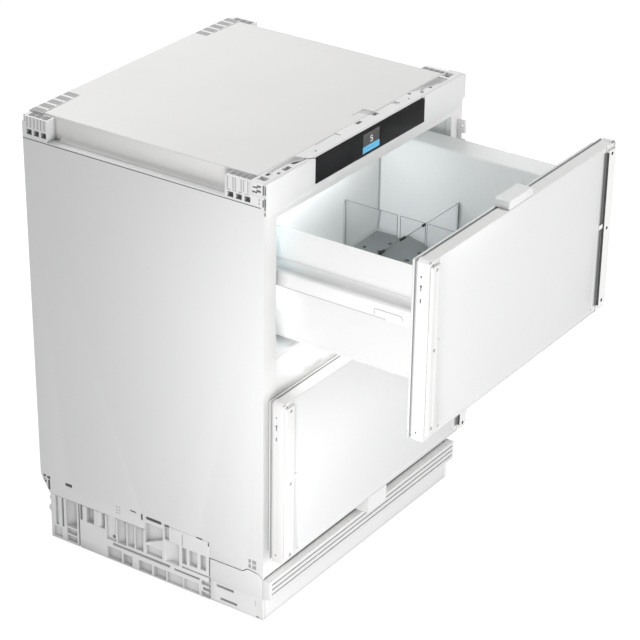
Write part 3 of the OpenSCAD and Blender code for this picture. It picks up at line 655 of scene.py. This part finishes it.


# Thin grey sheets on the bottoms of the shallow cells and slots in the corner blocks, the base and the trim: painted
# shade, darker in the deeper ones.
def cell_floors():
    pale, grey, deep, dark = [], [], [], []
    for side in (1, -1):
        for x in (186, 207.2, 228.4, 249.6, 270.4):
            grey.append(prism(rect(*sorted((side * (x - 7.6), side * (x + 7.6))), 471.6, 496.6), "z", 819.5, 820.06))
        x0, x1 = sorted((side * 298.3, side * 298.6))
        for y in (449, 456, 463, 470.6, 478.5, 486):
            pale.append(prism(rect(y - 0.4, y + 2.4, 797.5, 816.9), "x", x0, x1))
        for y in (31, 39.5, 44, 55.5, 60, 71):
            pale.append(prism(rect(y - 0.4, y + 2.2, 796.8, 816.9), "x", x0, x1))
        for y in (309, 315.2):
            for z in (104, 110, 116):
                pale.append(prism(rect(y, y + 3.6, z, z + 2.6), "x", x0, x1))
        for k in range(3):
            x2, x3 = sorted((side * 294.4, side * 279.2))
            deep.append(prism(rect(x2, x3, 447.6 + 14.2 * k, 460.4 + 14.2 * k), "z", 816.5, 817.06))
        for k in range(4):
            x2, x3 = sorted((side * 290.6, side * 277.6))
            deep.append(prism(rect(x2, x3, 30.0 + 11.5 * k, 40.4 + 11.5 * k), "z", 816.5, 817.06))
        for y in (452, 467.6, 483.2):
            dark.append(prism(rect(y - 5.2, y + 3.4, 785.4, 794.0), "x", *sorted((side * 292.0, side * 293.0))))
        for y in (33, 49.5, 66):
            dark.append(prism(rect(y - 5.4, y + 3.6, 782.2, 790.4), "x", *sorted((side * 292.0, side * 293.0))))
        grey.append(prism(rect(13.6, 30.4, 98.6, 116.9), "x", *sorted((side * 297.4, side * 297.9))))
    left = [(-262, 20.4), (-256, 24.4), (-206, 26.4), (-178, 27.4), (-173, 10.5), (-176, 7.0), (-188, 7.5), (-199, 14), (-215, 17), (-250, 18.6)]
    right = [(165, 27.4), (250, 27.4), (256, 8), (240, 7), (207, 11.5), (188, 18.5), (172, 24.5)]
    pale.append(prism(left, "z", 819.5, 820.05))
    pale.append(prism(right, "z", 819.5, 820.05))
    inner_left = [(-206, 21), (-180, 24.4), (-176, 11), (-184, 10.5), (-197, 17.8)]
    inner_right = [(196, 25), (246, 25), (250, 13), (236, 12), (214, 15.5)]
    grey.append(prism(inner_left, "z", 819.5, 820.1))
    grey.append(prism(inner_right, "z", 819.5, 820.1))
    for name, parts, slot in (("cells_pale", pale, "cell_pale"), ("cells_grey", grey, "cell_grey"), ("cells_deep", deep, "groove_mid"), ("cells_dark", dark, "seam_grey")):
        add_piece(name, rounded(join(parts), name, []), slot, "cabinet")


cell_floors()


# -------------------------------------------------------------------- drawers
def tub(name, body, node, dy, dz):
    """Drawn trough with rounded corners, a sloping rim and a skirt on both sides. Drawer closed at dy 0."""
    y0, y1 = -5.9 + dy, 381 + dy
    rings = []

    def ring(inset, z, r=7.0, wide=0.0):
        rings.append(rrect(-212 + inset - wide, 212 - inset + wide, y0 + inset, y1 - inset, max(r - inset * 0.4, 1.2), z + dz))

    for k in range(5):
        a = math.radians(90 * k / 4)
        ring(7 * (1 - math.sin(a)) + 0.2, 514 + 7 * (1 - math.cos(a)))
    ring(0.1, 640)
    ring(0.0, 708)
    ring(-0.2, 710.3, wide=0.6)
    ring(-0.5, 712.0, wide=2.6)
    ring(-1.2, 722.6, wide=21.4)
    ring(-1.8, 723.9, wide=23.0)
    ring(-2.6, 724.4, wide=22.9)
    ring(-3.4, 724.1, wide=22.6)
    ring(-4.0, 722.9, wide=21.0)
    ring(-4.0, 721.8, wide=20.4)
    ring(-4.0, 709.2, wide=2.2)
    ring(-4.0, 706.0, wide=0.2)
    ring(-4.0, 516.0)
    ring(-3.0, 511.5)
    ring(-0.5, 509.2)
    bm = loft([r for r in rings])
    parts = [bm]
    for side in (1, -1):
        out = [(233.6, 720.5), (236.6, 722.4), (236.95, 657.6), (236.3, 656.5), (234.6, 656.5), (233.9, 657.4)]
        sk = prism([(side * x, z + dz) for x, z in out], "y", -9.8 + dy, 384.9 + dy)
        parts.append(sk)
    me = smooth_mesh(join(parts), name, 32)
    return add_piece(name, me, "tub_white", body, (node,))


def arc(cx, cz, r, a0, a1, n=6):
    return [
        (cx + r * math.cos(math.radians(a0 + (a1 - a0) * k / n)), cz + r * math.sin(math.radians(a0 + (a1 - a0) * k / n)))
        for k in range(n + 1)
    ]


def side_rails(name, body, node, dy, dz):
    """Ledge beside the tub, its outer wall with a rounded shoulder, a cove up to the skirt and the latch housing."""
    parts = []
    for side in (1, -1):
        shoulder = (
            [(258.9, 628.1), (258.9, 651.0)]
            + arc(254.0, 651.0, 4.9, 0, 90)[1:]
            + [(216.6, 655.9), (216.6, 653.1)]
            + arc(253.9, 650.6, 2.5, 90, 0)
            + [(256.4, 628.1)]
        )
        inner = rect(234.4, 236.9, 628.1, 653.0)
        cove = [(237.1, 655.95)] + arc(248.1, 666.9, 10.9, 270, 180, 8) + [(237.1, 667.2)]
        for outline in (shoulder, inner, cove):
            parts.append(prism([(side * x, z + dz) for x, z in outline], "y", -9.8 + dy, 371.9 + dy))
        latch = rrect(29 + dy, 84 + dy, 631.2 + dz, 642.8 + dz, 5.0, 0)
        parts.append(prism([(side * 0 + y, z) for y, z, _ in latch], "x", *sorted((side * 258.8, side * 260.3))))
    me = rounded(join(parts), name, [(0.0005, 2, lambda e: e.calc_face_angle(0) > 0.9)])
    # painted shade: thin grey strips in the hairline gap under the rail and round the latch
    lines = []
    for side in (1, -1):
        lines.append(prism(rect(60 + dy, 371 + dy, 628.4 + dz, 629.5 + dz), "x", *sorted((side * 258.7, side * 259.0))))
        lines.append(prism(rect(80.6 + dy, 81.6 + dy, 633.0 + dz, 641.0 + dz), "x", *sorted((side * 260.1, side * 260.42))))
    add_piece(name.split(".")[0] + "_lines", rounded(join(lines), name.split(".")[0] + "_lines", []), "cell_grey", body)
    return add_piece(name, me, "rail_plastic", body, (node,))


side_rails("upper_rails.shape", "upper_drawer", "upper_drawer_rails", -1000 * OPEN, 0)
side_rails("lower_rails.shape", "lower_drawer", "lower_drawer_rails", 0, -334)

tub("upper_tub", "upper_drawer", "upper_drawer_tub", -1000 * OPEN, 0)
tub("lower_tub", "lower_drawer", "lower_drawer_tub", 0, -334)


def perforated_mat(name, body, node, dy, dz):
    """Flexible mat with round through holes on a regular grid, chamfered at their mouths, and a plain border round the
    grid.
    """
    px, py, r = 35.5, 30.3, 4.0
    xs = [-177.5 + px * k for k in range(11)]
    ys = [28.0 + py * k for k in range(12)]
    top, low = 519.0 + dz, 514.2 + dz
    bm = bmesh.new()
    cache = {}

    def vert(x, y, z):
        key = (round(x, 3), round(y, 3), round(z, 3))
        if key not in cache:
            cache[key] = bm.verts.new((x / 1000, (y + dy) / 1000, z / 1000))
        return cache[key]

    n = 16
    for i, cx in enumerate(xs):
        for j, cy in enumerate(ys):
            solid = (i, j) == (10, 11)
            outer, lip, wall = [], [], []
            for k in range(n):
                a = 2 * math.pi * (k + 0.5) / n
                c, s2 = math.cos(a), math.sin(a)
                t = min((px / 2) / max(abs(c), 1e-9), (py / 2) / max(abs(s2), 1e-9))
                outer.append((cx + t * c, cy + t * s2))
                lip.append((cx + (r + 0.35) * c, cy + (r + 0.35) * s2))
                wall.append((cx + r * c, cy + r * s2))
            for k in range(n):
                m = (k + 1) % n
                o0, o1 = outer[k], outer[m]
                mid = None
                if abs(abs(o0[0] - cx) - px / 2) < 1e-6 and abs(abs(o1[1] - cy) - py / 2) < 1e-6 and abs(
                    abs(o0[1] - cy) - py / 2
                ) > 1e-6:
                    mid = (o0[0], o1[1])
                elif abs(abs(o0[1] - cy) - py / 2) < 1e-6 and abs(abs(o1[0] - cx) - px / 2) < 1e-6 and abs(
                    abs(o0[0] - cx) - px / 2
                ) > 1e-6:
                    mid = (o1[0], o0[1])
                for z, flip in ((top, False), (low, True)):
                    ring = [vert(*lip[k], z), vert(*o0, z)] + ([vert(*mid, z)] if mid else []) + [vert(*o1, z), vert(*lip[m], z)]
                    bm.faces.new(ring[::-1] if flip else ring)
                for z, w, flip in ((top, top - 0.6, False), (low, low + 0.3, True)):
                    q = [vert(*wall[k], w), vert(*lip[k], z), vert(*lip[m], z), vert(*wall[m], w)]
                    bm.faces.new(q[::-1] if flip else q)
                if not solid:
                    bm.faces.new([vert(*wall[k], low + 0.3), vert(*wall[k], top - 0.6), vert(*wall[m], top - 0.6), vert(*wall[m], low + 0.3)])
            if solid:
                bm.faces.new([vert(*w, top - 0.6) for w in wall])
                bm.faces.new([vert(*w, low + 0.3) for w in reversed(wall)])
    # rim strip round the grid
    gx0, gx1 = xs[0] - px / 2, xs[-1] + px / 2
    gy0, gy1 = ys[0] - py / 2, ys[-1] + py / 2
    edges = [e for e in bm.edges if len(e.link_faces) == 1]
    ex0, ex1, ey0, ey1 = -206.8, 206.8, 0.4, 377.6

    def stretch(x, y):
        nx = ex0 if abs(x - gx0) < 0.01 else ex1 if abs(x - gx1) < 0.01 else x
        ny = ey0 if abs(y - gy0) < 0.01 else ey1 if abs(y - gy1) < 0.01 else y
        return nx, ny

    def raised(v):
        x, y = v.co.x * 1000, v.co.y * 1000 - dy
        return stretch(x, y)

    out = {}
    for e in edges:
        for v in e.verts:
            if v not in out:
                out[v] = vert(*raised(v), v.co.z * 1000)
    for e in edges:
        a, b = e.verts
        try:
            bm.faces.new((a, b, out[b], out[a]))
        except ValueError:
            pass
    # close the outer wall
    bm.edges.ensure_lookup_table()
    border = [e for e in bm.edges if len(e.link_faces) == 1]
    for e in border:
        a, b = e.verts
        if abs(a.co.z * 1000 - top) < 0.01 and abs(b.co.z * 1000 - top) < 0.01:
            la = vert(a.co.x * 1000, a.co.y * 1000 - dy, low)
            lb = vert(b.co.x * 1000, b.co.y * 1000 - dy, low)
            try:
                bm.faces.new((a, b, lb, la))
            except ValueError:
                pass
    bmesh.ops.recalc_face_normals(bm, faces=bm.faces)
    me = smooth_mesh(bm, name, 40)
    return add_piece(name, me, "mat_grey", body, (node,))


# Painted shadow: a black sheet under the mats, so that their holes read dark, and grey strips of painted shade in the
# tubs' far corners.
for tag, dy1, dz1 in (("upper", -1000 * OPEN, 0), ("lower", 0.0, -334)):
    sheet = prism(rect(-205, 205, 2 + dy1, 376 + dy1), "z", 517.2 + dz1, 517.6 + dz1)
    add_piece(tag + "_mat_shadow", rounded(sheet, tag + "_mat_shadow", []), "hole_black", tag + "_drawer")
    creases = [
        prism([(side * x, y + dy1) for x, y in ((208.9, 379.7), (210.9, 377.7), (210.4, 377.2), (208.4, 379.2))], "z", 521 + dz1, 708 + dz1)
        for side in (1, -1)
    ]
    add_piece(tag + "_tub_creases", rounded(join(creases), tag + "_tub_creases", []), "cell_grey", tag + "_drawer")

perforated_mat("upper_mat", "upper_drawer", "upper_floor_mat", -1000 * OPEN, 0)
perforated_mat("lower_mat", "lower_drawer", "lower_floor_mat", 0, -334)


def edge_painted(ob, main, edge, is_edge):
    """Gives the faces that is_edge picks a second material."""
    ob.data.materials.clear()
    ob.data.materials.append(M[main].mat)
    ob.data.materials.append(M[edge].mat)
    for p in ob.data.polygons:
        p.material_index = 1 if is_edge(p) else 0


def divider(name, node, body, outline, axis, a, b):
    """Clear plate with softly rounded edges; its top and end edges are painted dark, a painted shade standing for the
    dark look that light bending in the cut edges of clear plastic gives.
    """
    bm = prism(outline, axis, a, b)
    me = rounded(bm, name, [(0.00035, 2, None)])
    ob = add_piece(name, me, "clear_plastic", body, (node,))
    k = {"x": 0, "y": 1}[axis]
    edge_painted(ob, "clear_plastic", "clear_edge", lambda p: abs(p.normal[k]) < 0.5 and p.normal[2] > -0.3 and p.center[2] > 0.5215)
    return ob


dy = -1000 * OPEN
divider(
    "long_divider.plate",
    "long_divider",
    "upper_drawer",
    [
        (-5 + dy, 519.1),
        (380.6 + dy, 519.1),
        (380.6 + dy, 618),
        (271.5 + dy, 618),
        (271.5 + dy, 568),
        (265.5 + dy, 568),
        (265.5 + dy, 618),
        (214.7 + dy, 618),
        (214.7 + dy, 567.5),
        (211.3 + dy, 567.5),
        (211.3 + dy, 618),
        (-5 + dy, 618),
    ],
    "x",
    103,
    105,
)
divider(
    "cross_divider.plate",
    "cross_divider",
    "cross_divider",
    [(-45, 519.4), (102.3, 519.4), (102.3, 569.5), (105.7, 569.5), (105.7, 519.4), (211.5, 519.4), (211.5, 618), (-45, 618)],
    "y",
    212 + dy,
    214 + dy,
)
clips = join([prism(rect(x, x + w, 211.1 + dy, 214.9 + dy), "z", 616.0, 619.6) for x, w in ((-45.5, 17.5), (20, 17), (91, 9))])
add_piece("divider_clips.slim", rounded(clips, "divider_clips.slim", [(0.0005, 2, None)]), "hole_black", "cross_divider", ("divider_clips",))


# Holders on the tub's walls that carry the plates.
def holders():
    parts = [
        # rear wall, for the long plate
        prism(rect(101.4, 102.8, 379.2 + dy, 380.9 + dy), "z", 519.2, 612),
        prism(rect(105.2, 106.6, 379.2 + dy, 380.9 + dy), "z", 519.2, 612),
        # right wall, for the cross plate
        prism(rect(210.2, 211.9, 210.2 + dy, 211.7 + dy), "z", 519.2, 612),
        prism(rect(210.2, 211.9, 214.3 + dy, 215.8 + dy), "z", 519.2, 612),
    ]
    return join(parts)


add_piece("divider_holders", rounded(holders(), "divider_holders", [(0.0003, 2, None)]), "tub_white", "upper_drawer")


# ------------------------------------------------------------------- display
def glass():
    bm = bmesh.new()
    bm.from_mesh(N["display_glass"].data)
    me = rounded(bm, "display_glass.pane", [(0.0011, 3, lambda e: all(v.co.y < -0.0050 for v in e.verts)), (0.0002, 1, None)])
    ob = add_piece("display_glass.pane", me, "black_glass", "cabinet", ("display_glass",))
    edge_painted(ob, "black_glass", "glass_edge", lambda p: p.normal[1] > -0.985)


glass()


def flat_piece(name, parts, slot):
    me = rounded(join(parts), name, [])
    return add_piece(name, me, slot, "cabinet")


def screen():
    f, g = -5.62, -5.60
    flat_piece("display_field", [prism(rect(-26.2, 22.2, 791.4, 813.4), "y", f, g)], "screen_dark")
    flat_piece("display_bar", [prism(rect(-27.0, 22.8, 779.2, 790.8), "y", f - 0.01, g)], "screen_blue")
    flat_piece(
        "display_bar_mark",
        [prism(rect(-15.0, 9.0, 784.2, 785.8), "y", f - 0.03, g)],
        "screen_blue_dark",
    )
    # the set temperature, in degrees
    w, x0, x1, z0, zm, z1 = 1.5, -4.6, 2.2, 794.8, 800.4, 805.2
    digit = [
        rect(x0, x1, z1 - w, z1),
        rect(x0, x0 + w, zm, z1),
        rect(x0, x1 - 0.8, zm - w / 2, zm + w / 2),
        rect(x1 - w, x1, z0 + 0.8, zm + 0.4),
        rect(x0, x1 - 0.7, z0, z0 + w),
    ]
    flat_piece("display_digit", [prism(d, "y", f - 0.03 - 0.004 * k, g) for k, d in enumerate(digit)], "screen_white")
    flat_piece(
        "display_symbols",
        [prism(rect(-22.5 + 8.2 * k, -19.0 + 8.2 * k, 808.2, 811.0), "y", f - 0.02, g) for k in range(6)],
        "screen_dim",
    )


screen()


# A small clip on the lid behind the trim, and the strip that carries the glass over the top edge.
def lid_clip():
    frame_parts = [
        prism(rect(21.5, 56.5, 47.4, 50.2), "z", 819.9, 821.0),
        prism(rect(54.3, 56.5, 29.0, 47.4), "z", 819.9, 821.0),
        prism(rect(39.2, 41.2, 29.0, 47.4), "z", 819.9, 820.7),
    ]
    me = rounded(join(frame_parts), "lid_clip", [(0.0003, 2, None)])
    add_piece("lid_clip", me, "white_plastic", "cabinet")
    # painted shade: a grey floor in the clip's pocket and a grey strip of painted shadow behind its rim
    pocket = prism(rect(41.2, 54.3, 29.0, 47.4), "z", 819.9, 820.12)
    side = prism([(24, 51.4), (52, 51.4), (52, 50.2), (24, 50.2)], "z", 819.9, 820.15)
    add_piece("lid_clip_pocket", rounded(join([pocket, side]), "lid_clip_pocket", []), "groove_grey", "cabinet")


lid_clip()


def glass_fold():
    fold = prism([(-178.5, 6.4), (-176.0, 6.8), (-164.4, -3.6), (-164.4, -5.3), (-166.4, -5.3), (-168.0, -3.2)], "z", 819.7, 820.25)
    add_piece("glass_fold", rounded(join([fold]), "glass_fold", []), "glass_edge", "cabinet")


glass_fold()


# -------------------------------------------------------------------- stage
def stage_mat(name, colour, emit):
    t = Tree(name)
    t.colour(t.ramp(t.noise(1.5, 2, 0.5), [(0.3, shade(colour, 0.99)), (0.7, colour)]))
    t.rough(t.grey(t.noise(20, 2, 0.5), 0.75, 0.85))
    t.bsdf.inputs["Emission Color"].default_value = (1, 1, 1, 1)
    t.set(Emission_Strength=emit, Specular_IOR_Level=0.1)
    return t


def make_disc(name, level, colour, emit):
    bm = bmesh.new()
    ring = [bm.verts.new((9 * math.cos(a * math.pi / 48), 9 * math.sin(a * math.pi / 48), level)) for a in range(96)]
    bm.faces.new(ring)
    me = bpy.data.meshes.new(name)
    bm.to_mesh(me)
    bm.free()
    ob = bpy.data.objects.new(name, me)
    bpy.context.scene.collection.objects.link(ob)
    paint(ob, stage_mat(name, colour, emit))
    return ob


# The pale floor the camera sees, and below it the softer bounce it gives back to the object.
floor = make_disc("studio_floor", -0.0004, (0.40, 0.40, 0.40), 0.78)
floor.visible_diffuse = False
floor.visible_glossy = False
floor.visible_transmission = True
floor.visible_shadow = False
bounce = make_disc("studio_bounce", -0.0012, (0.02, 0.02, 0.02), 0.651)
bounce.visible_camera = False
bounce.visible_glossy = False
bounce.visible_transmission = False

world = bpy.data.worlds.new("studio")
bpy.context.scene.world = world
world.use_nodes = True
bg = world.node_tree.nodes["Background"]
bg.inputs["Color"].default_value = (0.985, 0.99, 1.0, 1)
bg.inputs["Strength"].default_value = 0.428


def area(name, location, target, size, power, colour=(1, 1, 1), size_y=None, spread=180):
    light = bpy.data.lights.new(name, "AREA")
    light.energy = power
    light.color = colour
    light.shape = "RECTANGLE"
    light.size = size
    light.size_y = size_y or size
    light.spread = math.radians(spread)
    ob = bpy.data.objects.new(name, light)
    ob.location = location
    d = Vector(target) - Vector(location)
    ob.rotation_euler = d.to_track_quat("-Z", "Y").to_euler()
    bpy.context.scene.collection.objects.link(ob)
    return ob


area("side_strip", (-0.9, -0.33, 0.4), (0, -0.33, 0.4), 0.25, 4.8, size_y=0.9)
area("front_right", (1.6, -2.4, 0.7), (0.15, -0.1, 0.45), 1.0, 11.1, size_y=1.2)
area("front_box", (0.3, -3.2, 1.1), (0, 0, 0.4), 2.0, 37.3)
area("front_low", (-0.3, -2.3, 0.12), (0, -0.2, 0.5), 2.4, 3.0, size_y=0.25)
area("top_box", (0.1, 0.15, 3.2), (0.1, 0.15, 0), 2.2, 3.3)
area("top_rear_box", (0.4, 1.6, 2.8), (0.1, 0.15, 0.8), 1.8, 42.7)
area("ceiling_strip", (-0.04, 0.065, 0.7475), (-0.04, 0.035, 0.5), 0.34, 0.66, (0.94, 0.988, 1.0), 0.08)
area("lamp_glow", (-0.12, 0.04, 0.7475), (-0.11, -0.04, 0.5), 0.16, 0.32, (0.9, 0.98, 1.0), 0.05)
# two small fills in the gaps behind and below the pulled-out drawer
for name, place, aim, size, power, other in (
    ("under_fill", (-0.03, -0.03, 0.503), (-0.03, 0.0, 0.455), 0.4, 0.14, 0.015),
    ("gap_fill", (-0.237, 0.06, 0.60), (-0.237, 0.03, 0.5), 0.02, 0.05, 0.05),
):
    area(name, place, aim, size, power, size_y=other).visible_camera = False

scene = bpy.context.scene
scene.view_settings.view_transform = "Standard"
scene.view_settings.look = "None"


# ------------------------------------------------------------------- camera
def make_camera():
    az, el, roll = (math.radians(v) for v in (-55.953742, 27.096140, 0.937510))
    back = Vector((math.sin(az) * math.cos(el), -math.cos(az) * math.cos(el), math.sin(el)))
    place = Vector((0.3587611, 0.3350319, 0.2093579)) + back * 4.662725
    x = Vector((0, 0, 1)).cross(back).normalized()
    y = back.cross(x)
    xr = x * math.cos(roll) + y * math.sin(roll)
    yr = y * math.cos(roll) - x * math.sin(roll)
    data = bpy.data.cameras.new("camera")
    data.sensor_fit = "HORIZONTAL"
    data.sensor_width = 36
    data.lens = 36 * 2388.58925 / 640
    data.clip_end = 60
    ob = bpy.data.objects.new("camera", data)
    ob.matrix_world = Matrix(
        (
            (xr.x, yr.x, back.x, place.x),
            (xr.y, yr.y, back.y, place.y),
            (xr.z, yr.z, back.z, place.z),
            (0, 0, 0, 1),
        )
    )
    bpy.context.scene.collection.objects.link(ob)
    bpy.context.scene.camera = ob


make_camera()
